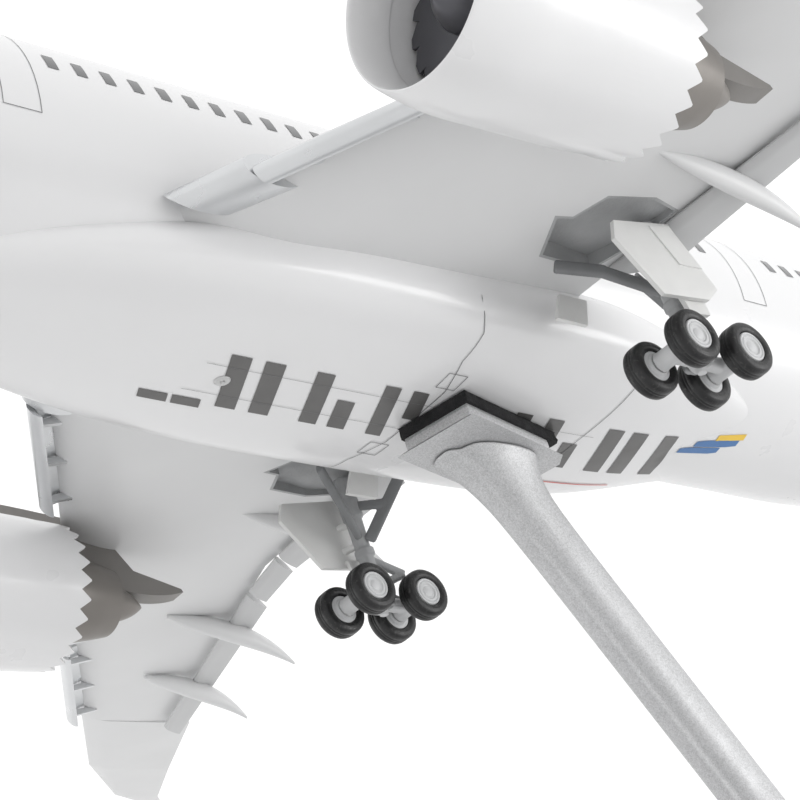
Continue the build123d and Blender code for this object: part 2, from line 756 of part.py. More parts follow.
def hub_pair(centre, spacing, width, bore, axle):
    """Two ringed hubs on one axle."""
    half = spacing / 2
    face = half + 0.5 * width - 0.12
    rings = (
        (half - 0.62 * width, axle), (half - 0.62 * width, 0.62 * bore),
        (half - 0.5 * width, 0.62 * bore), (half - 0.5 * width, 0.98 * bore),
        (face - 0.25, 0.98 * bore), (face, 0.9 * bore), (face, 0.68 * bore),
        (face - 0.16, 0.62 * bore), (face - 0.16, 0.38 * bore), (face, 0.3 * bore),
        (face + 0.02, 0),
    )
    with BuildPart() as pair:
        with BuildSketch(Plane(origin=centre, x_dir=(1, 0, 0), z_dir=(0, -1, 0))):
            with BuildLine():
                Polyline(*rings, (0, 0), (0, axle), close=True)
            make_face()
            mirror(about=Plane.YZ)
        revolve(axis=Axis(centre, (1, 0, 0)))
    return pair.part


def make_wheels():
    for name, end in (("front", -1), ("rear", 1)):
        centre = gear_point(TRACK_HALF, end * AXLE_SPACING / 2, -AXLE_DROP)
        tyres = tyre_pair(centre, TYRE_SPACING, TYRE_RADIUS, TYRE_WIDTH, HUB_RADIUS)
        hubs = hub_pair(centre, TYRE_SPACING, TYRE_WIDTH, HUB_RADIUS, AXLE_RADIUS)
        save_pair(tyres, f"tyres_{name}")
        save_pair(hubs, f"hubs_{name}")


NOSE_AXLE = (0, NOSE_Y + NOSE_GEAR_STATION, AXIS_Z - AXLE_DROP - TYRE_RADIUS + NOSE_TYRE_RADIUS)


def make_nose_gear():
    top = (0, NOSE_AXLE[1], AXIS_Z + WELL_TOP - 0.5)
    with BuildPart() as leg:
        add(strut(top, (0, NOSE_AXLE[1], NOSE_AXLE[2] + 4.0), 0.95))
        add(strut((0, NOSE_AXLE[1], NOSE_AXLE[2] + 4.2), NOSE_AXLE, 0.65))
        add(flat_bar((0, NOSE_AXLE[1] - 5.5, top[2]), (0, NOSE_AXLE[1], NOSE_AXLE[2] + 5.6), 0.9, 0.9))
        with Locations(NOSE_AXLE):
            Cylinder(0.85, NOSE_TYRE_SPACING - 1.24 * NOSE_TYRE_WIDTH - 0.2, rotation=(0, 90, 0))
            Cylinder(AXLE_RADIUS + RUNNING, 6, rotation=(0, 90, 0), mode=Mode.SUBTRACT)
        with BuildSketch(level_plane(WELL_TOP - 0.5)):
            with Locations((0, NOSE_AXLE[1])):
                Rectangle(20, 20)
        extrude(amount=3, mode=Mode.SUBTRACT)
    save(leg.part, "nose_leg")
    save(
        tyre_pair(NOSE_AXLE, NOSE_TYRE_SPACING, NOSE_TYRE_RADIUS, NOSE_TYRE_WIDTH, NOSE_HUB_RADIUS),
        "nose_tyres",
    )
    save(
        hub_pair(NOSE_AXLE, NOSE_TYRE_SPACING, NOSE_TYRE_WIDTH, NOSE_HUB_RADIUS, AXLE_RADIUS),
        "nose_hubs",
    )
    with BuildPart() as doors:
        for side in (-1, 1):
            with BuildSketch(Plane(origin=(side * 3.1 - 0.2, 0, 0), x_dir=(0, 1, 0), z_dir=(1, 0, 0))):
                with Locations((NOSE_AXLE[1] - 5.6, AXIS_Z - 15.6)):
                    RectangleRounded(8.4, 4.6, 0.6)
            extrude(amount=0.4)
        add(HULL, mode=Mode.SUBTRACT)
    save(Part() + doors.part.solids().filter_by(lambda door: door.volume > 3), "nose_gear_doors")


# --- stand ------------------------------------------------------------------------------
PAD_TOP = BELLY_Z - STRIP_PROUD - PAD_GAP
PLATE_TOP = PAD_TOP - PAD_THICKNESS
PLATE_BOTTOM = PLATE_TOP - PLATE_THICKNESS
BASE_TOP = FELT_THICKNESS + BASE_THICKNESS
ARM_SLOPE = math.tan(math.radians(ARM_LEAN))
FOOT_SHIFT = (PLATE_BOTTOM - BASE_TOP) * ARM_SLOPE
ARM_SCREW_RADIUS = 1.2


def make_stand():
    """Saddle plate and leaning arm in one casting, on a heavy rounded base."""
    with BuildPart() as pad:
        with BuildSketch(Plane.XY.offset(PLATE_TOP)):
            RectangleRounded(*PAD_SIZE, 0.6, rotation=SADDLE_YAW)
        extrude(amount=PAD_THICKNESS)
    save(pad.part, "saddle_pad")

    with BuildPart() as arm:
        with BuildSketch(Plane.XY.offset(PLATE_BOTTOM)):
            RectangleRounded(*PLATE_SIZE, 0.5, rotation=SADDLE_YAW)
        extrude(amount=PLATE_THICKNESS)
        chamfer(arm.edges().group_by(Axis.Z)[0], 0.3)
        for drop, size in ((0, (ARM_WIDTH + 3.2, ARM_DEPTH + 6.4)), (1.8, (ARM_WIDTH + 1.4, ARM_DEPTH + 3.0)),
                           (NECK_HEIGHT, (ARM_WIDTH, ARM_DEPTH))):
            with BuildSketch(Plane.XY.offset(PLATE_BOTTOM - drop)):
                with Locations((0, drop * ARM_SLOPE)):
                    Ellipse(size[0] / 2, size[1] / 2)
        loft()
        lean = Vector(0, ARM_SLOPE, -1)
        with BuildSketch(Plane.XY.offset(PLATE_BOTTOM - NECK_HEIGHT)):
            with Locations((0, NECK_HEIGHT * ARM_SLOPE)):
                Ellipse(ARM_WIDTH / 2, ARM_DEPTH / 2)
        run = PLATE_BOTTOM - NECK_HEIGHT - BASE_TOP
        extrude(amount=run * lean.length, dir=lean.normalized())
        for height, grow in ((0, 5.0), (1.2, 2.2), (5.0, 0.0)):
            with BuildSketch(Plane.XY.offset(BASE_TOP + height)):
                with Locations((0, FOOT_SHIFT - height * ARM_SLOPE)):
                    Ellipse((ARM_WIDTH + grow) / 2, (ARM_DEPTH + grow) / 2)
        loft()
        with Locations((0, FOOT_SHIFT - 2, BASE_TOP + 3)):
            Cylinder(ARM_SCREW_RADIUS, 8, mode=Mode.SUBTRACT)
    save(largest(arm.part), "stand_arm")

    with BuildPart() as base:
        with BuildSketch(Plane.XY.offset(FELT_THICKNESS)):
            with Locations((0, BASE_SHIFT)):
                RectangleRounded(*BASE_SIZE, 30)
        extrude(amount=BASE_THICKNESS)
        fillet(base.edges().group_by(Axis.Z)[-1], 2.4)
        with Locations((0, FOOT_SHIFT - 2, FELT_THICKNESS)):
            Cylinder(ARM_SCREW_RADIUS, 40, mode=Mode.SUBTRACT)
            Cylinder(3.2, 6, mode=Mode.SUBTRACT)
    save(base.part, "stand_base")

    with BuildPart() as screw:
        with BuildSketch(Plane.XY.offset(FELT_THICKNESS + 0.6)):
            with Locations((0, FOOT_SHIFT - 2)):
                Circle(3.0)
        extrude(amount=2.4)
        with BuildSketch(Plane.XY.offset(FELT_THICKNESS + 2.9)):
            with Locations((0, FOOT_SHIFT - 2)):
                Circle(ARM_SCREW_RADIUS - 0.03)
        extrude(amount=10.5)
        with BuildSketch(Plane.XY.offset(FELT_THICKNESS + 0.6)):
            with Locations((0, FOOT_SHIFT - 2)):
                Rectangle(3.6, 0.7)
                Rectangle(0.7, 3.6)
        extrude(amount=1.0, mode=Mode.SUBTRACT)
    save(screw.part, "arm_screw")

    with BuildPart() as felt:
        with BuildSketch():
            with Locations((0, BASE_SHIFT)):
                RectangleRounded(BASE_SIZE[0] - 2, BASE_SIZE[1] - 2, 29)
        extrude(amount=FELT_THICKNESS)
    save(felt.part, "base_felt")


make_fuselage()
make_nose_well()
make_nose_weight()
make_belly()
make_wing()
make_wheel_bay()
make_slats()
make_flaps()
make_flap_pods()
make_landing_light()
make_engines()
make_tail()
MAIN_LEG = main_leg()
save_pair(MAIN_LEG, "main_leg")
make_gear_braces(MAIN_LEG)
make_gear_doors(MAIN_LEG)
make_bogie()
make_wheels()
make_nose_gear()
make_stand()
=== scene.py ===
import math
import random
import bpy
from mathutils import Matrix, Vector
from mathutils.bvhtree import BVHTree


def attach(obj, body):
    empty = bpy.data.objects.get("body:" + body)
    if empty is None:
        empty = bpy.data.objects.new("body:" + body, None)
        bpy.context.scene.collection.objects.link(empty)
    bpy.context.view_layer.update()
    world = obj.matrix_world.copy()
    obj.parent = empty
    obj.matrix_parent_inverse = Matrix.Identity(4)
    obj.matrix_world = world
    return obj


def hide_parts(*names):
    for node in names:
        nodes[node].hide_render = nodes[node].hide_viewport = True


# Desktop airliner model on its display stand. Lengths in millimetres, turned to metres at the mesh.
# Aircraft points are (x to port, y behind the main gear, z above the fuselage axis).
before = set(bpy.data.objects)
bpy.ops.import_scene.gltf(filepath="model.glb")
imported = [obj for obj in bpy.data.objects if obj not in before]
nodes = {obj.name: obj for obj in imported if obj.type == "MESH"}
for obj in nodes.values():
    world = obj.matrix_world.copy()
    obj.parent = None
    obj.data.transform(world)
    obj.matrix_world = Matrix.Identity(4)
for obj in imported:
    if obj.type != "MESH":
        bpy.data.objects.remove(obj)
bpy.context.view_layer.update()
AXIS_Z = 134.0  # fuselage axis above the desk
GEAR_Y = 5.0  # main gear behind the origin
SIDES = (("left", 1), ("right", -1))


def row(point):
    """Aircraft point in millimetres as a point of the shared frame in metres."""
    return Vector((point[0], point[1] + GEAR_Y, point[2] + AXIS_Z)) / 1000


# --- materials -------------------------------------------------------------------------------
FLAKE_SCALE, DUST_SCALE = 9000, 2600
DUST_COLOUR = (0.62, 0.6, 0.57)
RELIEF_DEPTH = 0.0002


def finish(name, colour, rough=0.35, metal=0.0, coat=0.0, mottle=0.05, grain=300, bump=0.02,
           dust=0.0, flake=0.0):
    """Procedural paint, metal or rubber with uneven colour, gloss and surface."""
    material = bpy.data.materials.new(name)
    material.use_nodes = True
    tree = material.node_tree
    shader = tree.nodes["Principled BSDF"]
    coords = tree.nodes.new("ShaderNodeTexCoord").outputs["Object"]

    def noise(scale, detail=4):
        node = tree.nodes.new("ShaderNodeTexNoise")
        node.inputs["Scale"].default_value = scale
        node.inputs["Detail"].default_value = detail
        tree.links.new(coords, node.inputs["Vector"])
        return node.outputs["Fac"]

    def spread(value, low, high, start=0.3, end=0.7):
        node = tree.nodes.new("ShaderNodeMapRange")
        for key, number in (("From Min", start), ("From Max", end), ("To Min", low), ("To Max", high)):
            node.inputs[key].default_value = number
        tree.links.new(value, node.inputs["Value"])
        return node.outputs["Result"]

    def blend(factor, first, second):
        node = tree.nodes.new("ShaderNodeMix")
        node.data_type = "RGBA"
        tree.links.new(factor, node.inputs["Factor"])
        for socket, value in ((node.inputs[6], first), (node.inputs[7], second)):
            if isinstance(value, bpy.types.NodeSocket):
                tree.links.new(value, socket)
            else:
                socket.default_value = (*value, 1)
        return node.outputs[2]

    dark = [channel * (1 - mottle) for channel in colour]
    light = [min(1.0, channel * (1 + mottle)) for channel in colour]
    tint = blend(spread(noise(grain * 0.4), 0, 1), dark, light)
    height = noise(grain * 6, 2)
    if flake:
        cells = tree.nodes.new("ShaderNodeTexVoronoi")
        cells.inputs["Scale"].default_value = FLAKE_SCALE
        tree.links.new(coords, cells.inputs["Vector"])
        split = tree.nodes.new("ShaderNodeSeparateColor")
        tree.links.new(cells.outputs["Color"], split.inputs["Color"])
        height = split.outputs["Red"]
        tint = blend(spread(height, 0, flake, 0, 1), tint, [min(1, c * 1.5) for c in colour])
        tint = blend(spread(split.outputs["Green"], 0, flake, 0.4, 1), tint, [c * 0.5 for c in colour])
    if dust:
        tint = blend(spread(noise(DUST_SCALE, 3), 0, dust, 0.58, 0.75), tint, DUST_COLOUR)
    tree.links.new(tint, shader.inputs["Base Color"])
    tree.links.new(spread(noise(grain), rough * 0.85, min(1, rough * 1.15)), shader.inputs["Roughness"])
    shader.inputs["Metallic"].default_value = metal
    shader.inputs["Coat Weight"].default_value = coat
    shader.inputs["Coat Roughness"].default_value = 0.12
    relief = tree.nodes.new("ShaderNodeBump")
    relief.inputs["Strength"].default_value = bump
    relief.inputs["Distance"].default_value = RELIEF_DEPTH
    tree.links.new(height, relief.inputs["Height"])
    tree.links.new(relief.outputs["Normal"], shader.inputs["Normal"])
    return material


white = finish("white_gloss", (0.72, 0.72, 0.725), 0.32, coat=0.35, mottle=0.015, grain=120, bump=0.01)
wing_grey = finish("wing_grey", (0.64, 0.642, 0.645), 0.42, coat=0.1, mottle=0.03, grain=90)
flap_grey = finish("flap_grey", (0.5, 0.503, 0.506), 0.45, mottle=0.04, grain=90)
slat_silver = finish("slat_silver", (0.66, 0.67, 0.68), 0.3, metal=0.75, mottle=0.04, bump=0.03)
pylon_grey = finish("pylon_grey", (0.2, 0.19, 0.18), 0.5, mottle=0.06)
exhaust = finish("exhaust", (0.22, 0.205, 0.19), 0.42, metal=0.6, mottle=0.08)
fan_dark = finish("fan_dark", (0.1, 0.1, 0.11), 0.35, metal=0.7)
cast_grey = finish("gear_grey", (0.34, 0.345, 0.35), 0.5, mottle=0.16, grain=500, bump=0.25)
hub_grey = finish("hub_grey", (0.56, 0.565, 0.57), 0.42, mottle=0.04, grain=500, bump=0.06)
door_white = finish("door_white", (0.68, 0.68, 0.67), 0.45, mottle=0.05, grain=350, bump=0.12)
dark_grey = finish("brace_grey", (0.2, 0.205, 0.21), 0.55, mottle=0.12, grain=500, bump=0.15)
rubber = finish("tyre", (0.006, 0.006, 0.0065), 0.42, mottle=0.3, grain=700, bump=0.2, dust=0.06)
foam = finish("foam", (0.008, 0.008, 0.009), 0.95, mottle=0.5, grain=1500, bump=1.0, dust=0.02)
felt = finish("felt", (0.02, 0.02, 0.022), 0.95, mottle=0.4, grain=1800, bump=0.8)
silver = finish("stand_silver", (0.5, 0.502, 0.508), 0.5, metal=0.55, mottle=0.03, bump=0.35, flake=0.4)
steel = finish("screw_steel", (0.5, 0.5, 0.5), 0.3, metal=0.9, mottle=0.06)
ballast = finish("ballast", (0.2, 0.2, 0.21), 0.5, metal=0.5)
print_grey = finish("print_grey", (0.09, 0.088, 0.086), 0.4, coat=0.1, mottle=0.05)
line_grey = finish("line_grey", (0.16, 0.16, 0.165), 0.45, mottle=0.1)
line_red = finish("line_red", (0.55, 0.08, 0.07), 0.4, mottle=0.1)
mark_blue = finish("mark_blue", (0.06, 0.16, 0.36), 0.4, mottle=0.1)
mark_yellow = finish("mark_yellow", (0.75, 0.5, 0.06), 0.4, mottle=0.1)
glazing = finish("glazing", (0.03, 0.032, 0.036), 0.2, coat=0.6, mottle=0.2)

CAD_FINISH = {
    "fuselage": white, "belly_fairing": white, "keel_strip": white, "fin": white, "nacelle": white,
    "wing": wing_grey, "tailplane": wing_grey, "flap_track": wing_grey, "flap_in": flap_grey,
    "flap_out": flap_grey, "slats": slat_silver, "landing_light": slat_silver, "pylon": pylon_grey,
    "engine_core": exhaust, "fan": fan_dark, "wheel_bay": cast_grey, "nose_wheel": cast_grey,
    "main_leg": cast_grey, "gear_braces": dark_grey, "bogie": cast_grey, "nose_leg": cast_grey,
    "strut_door": door_white, "root_door": door_white, "nose_gear": door_white, "hubs": hub_grey,
    "nose_hubs": hub_grey, "tyres": rubber, "nose_tyres": rubber, "base_felt": felt,
    "stand": silver, "arm_screw": steel, "belly_screw": steel, "saddle_pad": foam,
    "nose_weight": ballast,
}
for name, node in nodes.items():
    match = max((key for key in CAD_FINISH if name.startswith(key)), key=len)
    node.data.materials.clear()
    node.data.materials.append(CAD_FINISH[match])
    node.data.polygons.foreach_set("use_smooth", [True] * len(node.data.polygons))
    node.data.set_sharp_from_angle(angle=math.radians(32))


# --- mesh helpers ----------------------------------------------------------------------------
def piece(name, points, faces, material, body="airframe", stands_for=(), sharp=35):
    """Mesh object that rides a body and takes the place of the named CAD nodes."""
    mesh = bpy.data.meshes.new(name)
    mesh.from_pydata([tuple(point) for point in points], [], faces)
    mesh.validate()
    mesh.materials.append(material)
    obj = bpy.data.objects.new(name, mesh)
    bpy.context.scene.collection.objects.link(obj)
    mesh.polygons.foreach_set("use_smooth", [True] * len(mesh.polygons))
    mesh.set_sharp_from_angle(angle=math.radians(sharp))
    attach(obj, body)
    if stands_for:
        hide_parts(*stands_for)
    return obj


def skin(rings, closed=False, caps=True):
    """Faces over a list of equal rings of points; closed joins the last ring to the first."""
    count = len(rings[0])
    points = [point for ring in rings for point in ring]
    faces = []
    for j in range(len(rings) if closed else len(rings) - 1):
        a, b = j * count, (j + 1) % len(rings) * count
        for i in range(count):
            k = (i + 1) % count
            faces.append((a + i, a + k, b + k, b + i))
    if caps and not closed:
        faces.append(tuple(range(count))[::-1])
        faces.append(tuple(range(len(points) - count, len(points))))
    return points, faces


def merge(*shapes):
    """Several (points, faces) shapes as one."""
    points, faces = [], []
    for some_points, some_faces in shapes:
        faces += [tuple(i + len(points) for i in face) for face in some_faces]
        points += list(some_points)
    return points, faces


def wheel(centre, across, profile, steps=72):
    """Closed profile of (offset outboard, radius) turned about an axle across the aircraft."""
    rings = []
    for i in range(steps):
        turn = 2 * math.pi * i / steps
        rings.append([
            row((centre[0] + across * u, centre[1] + r * math.cos(turn), centre[2] + r * math.sin(turn)))
            for u, r in profile
        ])
    return skin(rings, closed=True)


def bar(start, end, width, depth, up=(0, 0, 1), taper=1.0, corner=0.28):
    """Bar with rounded corners; width across, depth along up."""
    start, end = Vector(start), Vector(end)
    axis = (end - start).normalized()
    side = axis.cross(Vector(up)).normalized()
    top = side.cross(axis)
    rings = []
    for share, shrink in ((0, 0.8), (0.03, 1), (0.97, 1), (1, 0.8)):
        middle = start.lerp(end, share)
        grow = shrink * (1 + (taper - 1) * share)
        ring = []
        for i in range(16):
            turn = 2 * math.pi * (i + 0.5) / 16
            u, v = math.cos(turn), math.sin(turn)
            reach = (abs(u) ** (1 / corner) + abs(v) ** (1 / corner)) ** -corner
            ring.append(row(middle + side * (u * reach * width / 2 * grow)
                            + top * (v * reach * depth / 2 * grow)))
        rings.append(ring)
    return skin(rings)


def cast(obj, size=0.13, rounds=2):
    """Melt a set of primitives into one soft casting."""
    remesh = obj.modifiers.new("cast", "REMESH")
    remesh.mode = "VOXEL"
    remesh.voxel_size = size / 1000
    remesh.use_smooth_shade = True
    smooth = obj.modifiers.new("soften", "SMOOTH")
    smooth.iterations = rounds
    return obj


def spline(stations, value):
    """Smooth interpolation of rows of numbers keyed by their first column."""
    keys = [entry[0] for entry in stations]
    i = max(0, min(len(keys) - 2, sum(key <= value for key in keys) - 1))
    span = keys[i + 1] - keys[i]
    t = (value - keys[i]) / span
    out = []
    for column in range(1, len(stations[0])):
        y0, y1 = stations[i][column], stations[i + 1][column]
        before, after = stations[max(i - 1, 0)], stations[min(i + 2, len(keys) - 1)]
        m0 = (y1 - before[column]) / max(keys[i + 1] - before[0], 1e-6) * span
        m1 = (after[column] - y0) / max(after[0] - keys[i], 1e-6) * span
        out.append((2 * t**3 - 3 * t**2 + 1) * y0 + (t**3 - 2 * t**2 + t) * m0
                   + (3 * t**2 - 2 * t**3) * y1 + (t**3 - t**2) * m1)
    return out


# --- fuselage and belly ----------------------------------------------------------------------
NOSE = -157.2
STEPS = 128
# station, half width, half height, rise
HULL = (
    (0.0, 0.9, 0.8, -3.2), (1.0, 2.8, 2.6, -3.15), (4.0, 5.6, 5.2, -3.0), (10.0, 8.8, 8.4, -2.4),
    (18.0, 11.5, 11.3, -1.5), (30.0, 13.7, 13.9, -0.5), (44.0, 14.43, 14.93, 0), (60.0, 14.43, 14.93, 0),
    (196.0, 14.43, 14.93, 0), (212.0, 14.43, 14.93, 0.0), (232.0, 13.6, 13.9, 1.0),
    (255.0, 11.2, 11.3, 3.2), (280.0, 7.2, 7.6, 6.0), (300.0, 3.6, 4.4, 7.8), (314.0, 1.1, 1.7, 9.0),
)
# station, half width, top, bottom, power of the rounded section
FAIRING = (
    (84.0, 6.0, -9.6, -13.8, 2.1), (92.0, 9.0, -8.6, -14.9, 2.2), (100.0, 11.4, -7.4, -15.5, 2.3),
    (110.0, 13.6, -6.0, -15.9, 2.6), (122.0, 15.0, -5.0, -16.0, 2.9), (134.0, 15.4, -4.6, -16.0, 3.1),
    (160.0, 15.3, -4.8, -16.0, 3.1), (168.0, 14.6, -5.6, -15.85, 3.0), (176.0, 13.0, -6.8, -15.4, 2.8),
    (189.0, 8.0, -9.2, -13.8, 2.3),
)


def hull_ring(station):
    width, height, rise = spline(HULL, station)
    return [row((width * math.cos(a), NOSE + station, rise + height * math.sin(a)))
            for a in (2 * math.pi * i / STEPS for i in range(STEPS))]


def fairing_ring(station):
    width, top, bottom, power = spline(FAIRING, station)
    middle, half = (top + bottom) / 2, (top - bottom) / 2
    ring = []
    for i in range(STEPS):
        u, v = math.cos(2 * math.pi * i / STEPS), math.sin(2 * math.pi * i / STEPS)
        reach = (abs(u) ** power + abs(v) ** power) ** (-1 / power)
        ring.append(row((width * u * reach, NOSE + station, middle + half * v * reach)))
    return ring


stations = [0, 0.25, 0.6, 1, 1.7, 2.5, 3.5] + [4 + 1.5 * i for i in range(207)] + [314]
hull = piece("hull", *skin([hull_ring(s) for s in stations]), white,
             stands_for=("fuselage_left", "fuselage_right"), sharp=60)
fairing = piece("belly", *skin([fairing_ring(84 + 0.8 * i) for i in range(132)]), white,
                stands_for=("belly_fairing", "keel_strip"), sharp=60)

bpy.context.view_layer.update()
SKINS = [BVHTree.FromObject(obj, bpy.context.evaluated_depsgraph_get())
         for obj in (hull, fairing, nodes["wing_left"], nodes["wing_right"])]


def under(x, y, lift):
    """Point on the underside of the aircraft, lifted off it a little."""
    start = row((x, y, -60))
    hits = [tree.ray_cast(start, Vector((0, 0, 1)), 0.1) for tree in SKINS]
    hits = [hit for hit in hits if hit[0] is not None]
    if not hits:
        return None
    place, normal = min(hits, key=lambda hit: hit[3])[:2]
    return place + (normal if normal.z < 0 else -normal) * lift / 1000


def printed(outline, lift=0.07, grid=0.6):
    """Printed patch on the underside: a convex outline in plan, cut into small cells."""
    left, right = min(p[0] for p in outline), max(p[0] for p in outline)
    columns = max(2, round((right - left) / grid))
    rings = []
    for i in range(columns + 1):
        x = left + (right - left) * i / columns
        cuts = []
        for (x0, y0), (x1, y1) in zip(outline, outline[1:] + outline[:1]):
            if min(x0, x1) - 1e-6 <= x <= max(x0, x1) + 1e-6 and abs(x1 - x0) > 1e-6:
                cuts.append(y0 + (y1 - y0) * (x - x0) / (x1 - x0))
        rings.append((x, min(cuts), max(cuts)))
    tall = max(high - low for x, low, high in rings)
    rows = max(2, round(tall / grid))
    points, faces = [], []
    for x, low, high in rings:
        for j in range(rows + 1):
            points.append(under(x, low + (high - low) * j / rows, lift) or row((x, low, -14)))
    for i in range(columns):
        for j in range(rows):
            a = i * (rows + 1) + j
            faces.append((a, a + 1, a + rows + 2, a + rows + 1))
    return points, faces


def ruled_line(path, width, lift=0.09):
    """Thin printed line along a path in plan on the underside."""
    shapes = []
    for (x0, y0), (x1, y1) in zip(path, path[1:]):
        length = math.hypot(x1 - x0, y1 - y0)
        steps = max(1, round(length / 0.7))
        nx, ny = -(y1 - y0) / length * width / 2, (x1 - x0) / length * width / 2
        points = []
        for i in range(steps + 1):
            x, y = x0 + (x1 - x0) * i / steps, y0 + (y1 - y0) * i / steps
            points += [under(x + nx, y + ny, lift), under(x - nx, y - ny, lift)]
        if all(points):
            shapes.append((points, [(2 * i, 2 * i + 1, 2 * i + 3, 2 * i + 2) for i in range(steps)]))
    return merge(*shapes)


def both_sides(path):
    """A path and its mirror image."""
    return [path, [(-x, y) for x, y in path]]


# generic slanted strokes down the belly in place of lettering
STROKES = [(-37.6, 2.4, -4.2, 4.2), (-33.6, 2.4, -4.2, 4.2), (-27.4, 2.2, -4.2, 4.2), (-23.8, 2.2, -4.2, 0.5),
           (-18.8, 2.0, -4.2, 4.2), (-15.2, 2.0, -0.5, 4.2), (-10.6, 2.0, -4.2, 4.2), (-5.4, 2.2, -4.2, 4.2),
           (-1.0, 2.2, 0.4, 4.2), (3.6, 2.2, -4.2, 4.2), (7.2, 2.2, -4.2, 0.5), (12.6, 2.4, -4.2, 4.2),
           (16.4, 2.4, -4.2, 4.2), (21.6, 2.2, -4.2, 4.2)]
SLANT = 0.42
shapes = []
for start, breadth, low, high in STROKES:
    first, last = start - SLANT * low, start - SLANT * high
    shapes.append(printed([(low, first), (high, last), (high, last + breadth), (low, first + breadth)]))
for start in (-46.4, -42.6):
    shapes.append(printed([(-5.0, start + 2.1), (-3.6, start + 1.5), (-3.6, start + 4.8),
                           (-5.0, start + 5.4)]))
piece("belly_bars", *merge(*shapes), print_grey)

lines = [[(-5, -13.6), (5, -13.6), (9.8, -15.0), (13.4, -14.8), (15.4, -15.8)],
         [(-11, 8.5), (11, 8.5), (15.6, 2.5)]]
PANEL_LINE, STRIP_LINE = 0.09, 0.05
outlines = []
for path in lines:
    for half in both_sides(path):
        outlines.append(ruled_line(half, PANEL_LINE))
for side in (1, -1):
    outlines.append(ruled_line([(side * 5.5, -15.2), (side * 7.9, -15.2), (side * 7.9, -12.8),
                                (side * 5.5, -12.8), (side * 5.5, -15.2)], PANEL_LINE))
    outlines.append(ruled_line([(side * 2.3, -41), (side * 2.3, 10)], STRIP_LINE))
piece("belly_lines", *merge(*outlines), line_grey)
piece("red_line", *ruled_line([(-7.6, 11.0), (-7.3, 21.5)], 0.22), line_red)
# plain patches in place of a small coloured mark
marks = [printed([(1.2, 24.5), (2.2, 24.5), (3.2, 30), (2.2, 30)], grid=0.4),
         printed([(2.6, 26), (3.6, 26), (4.7, 32), (3.7, 32)], grid=0.4)]
piece("blue_mark", *merge(*marks), mark_blue)
piece("yellow_mark", *printed([(4.0, 28.5), (4.8, 28.5), (5.6, 32.5), (4.8, 32.5)], grid=0.4),
      mark_yellow)


def hull_patch(low, high, start, end, lift=0.05, slant=0.0):
    """Patch on the side of the hull between two heights (share of half height) and two stations."""
    shapes = []
    for side in (1, -1):
        points = []
        for i in range(9):
            for j in range(3):
                share = low + (high - low) * i / 8
                station = start + (end - start) * j / 2 + slant * (share - low)
                width, height, rise = spline(HULL, station)
                x = side * (width + lift) * math.sqrt(max(0, 1 - share * share))
                points.append(row((x, NOSE + station, rise + share * (height + lift))))
        shapes.append((points, [(i * 3 + j, i * 3 + j + 1, i * 3 + j + 4, i * 3 + j + 3)
                                for i in range(8) for j in range(2)]))
    return merge(*shapes)


DOORS = (34, 92, 187.5, 236)
windows = [hull_patch(0.30, 0.44, s, s + 1.15) for s in [38 + 3.05 * i for i in range(66)]
           if all(abs(s - door) > 3.5 for door in DOORS)]
piece("cabin_windows", *merge(*windows), glazing)
panes = [hull_patch(0.36, 0.64, 10.4, 12.6, slant=3), hull_patch(0.36, 0.66, 13.0, 15.6, slant=3),
         hull_patch(0.38, 0.66, 16.0, 18.4, slant=2)]
piece("cockpit_windows", *merge(*panes), glazing)
frames = []
for door in DOORS:
    for a, b, c, d in ((-0.12, -0.115, -1.9, 1.9), (0.675, 0.68, -1.9, 1.9), (-0.12, 0.68, -1.96, -1.88),
                       (-0.12, 0.68, 1.88, 1.96)):
        frames.append(hull_patch(a, b, door + c, door + d))
piece("door_lines", *merge(*frames), line_grey)


# belly screw: low round head with a four-pointed recess in its middle
SCREW_STATION = 119.5
SCREW_STEPS = 32
SCREW_PROFILE = ((0.85, -15.8), (0.85, -16.05), (0.76, -16.14), (0.5, -16.18), (0.26, -16.18),
                 (0.18, -16.06))
RECESS_RADIUS = 0.3
screw_rings = []
for radius, z in SCREW_PROFILE:
    ring = []
    for i in range(SCREW_STEPS):
        turn = 2 * math.pi * i / SCREW_STEPS
        reach = radius * (1.5 if radius < RECESS_RADIUS and i % 8 == 0 else 1)
        ring.append(row((reach * math.cos(turn), NOSE + SCREW_STATION + reach * math.sin(turn), z)))
    screw_rings.append(ring)
piece("screw_head", *skin(screw_rings), steel, stands_for=("belly_screw",), sharp=25)


# --- landing gear ----------------------------------------------------------------------------
TRACK_HALF, AXLE_Z = 26, -22.8
AXLE_OFFSET = 3.8  # axle ahead of and behind the bogie pin
TYRE_SPACING = 5.9
# profiles of (offset outboard, radius)
TYRE = [(-0.86, 1.66), (-1.02, 1.78), (-1.13, 2.05), (-1.16, 2.3), (-1.12, 2.36), (-1.12, 2.46),
        (-1.03, 2.68), (-0.86, 2.82), (-0.6, 2.89), (-0.25, 2.91), (-0.2, 2.87), (-0.13, 2.87), (-0.08, 2.91),
        (0.08, 2.91), (0.13, 2.87), (0.2, 2.87), (0.25, 2.91), (0.6, 2.89), (0.86, 2.82), (1.03, 2.68),
        (1.12, 2.46), (1.12, 2.36), (1.16, 2.3), (1.13, 2.05), (1.02, 1.78), (0.86, 1.66)]
HUB = [(0, 0.3), (-1.3, 0.3), (-1.3, 1.12), (-0.95, 1.3), (-0.9, 1.64), (0.9, 1.64), (1.02, 1.58),
       (1.06, 1.48), (1.02, 1.38), (0.94, 1.33), (0.94, 1.27), (1.02, 1.2), (1.04, 1.02), (0.98, 0.93),
       (0.9, 0.88), (0.88, 0.66), (0.93, 0.62), (0.98, 0.5), (1.04, 0.34), (1.07, 0.15), (1.07, 0.002),
       (0, 0.002)]


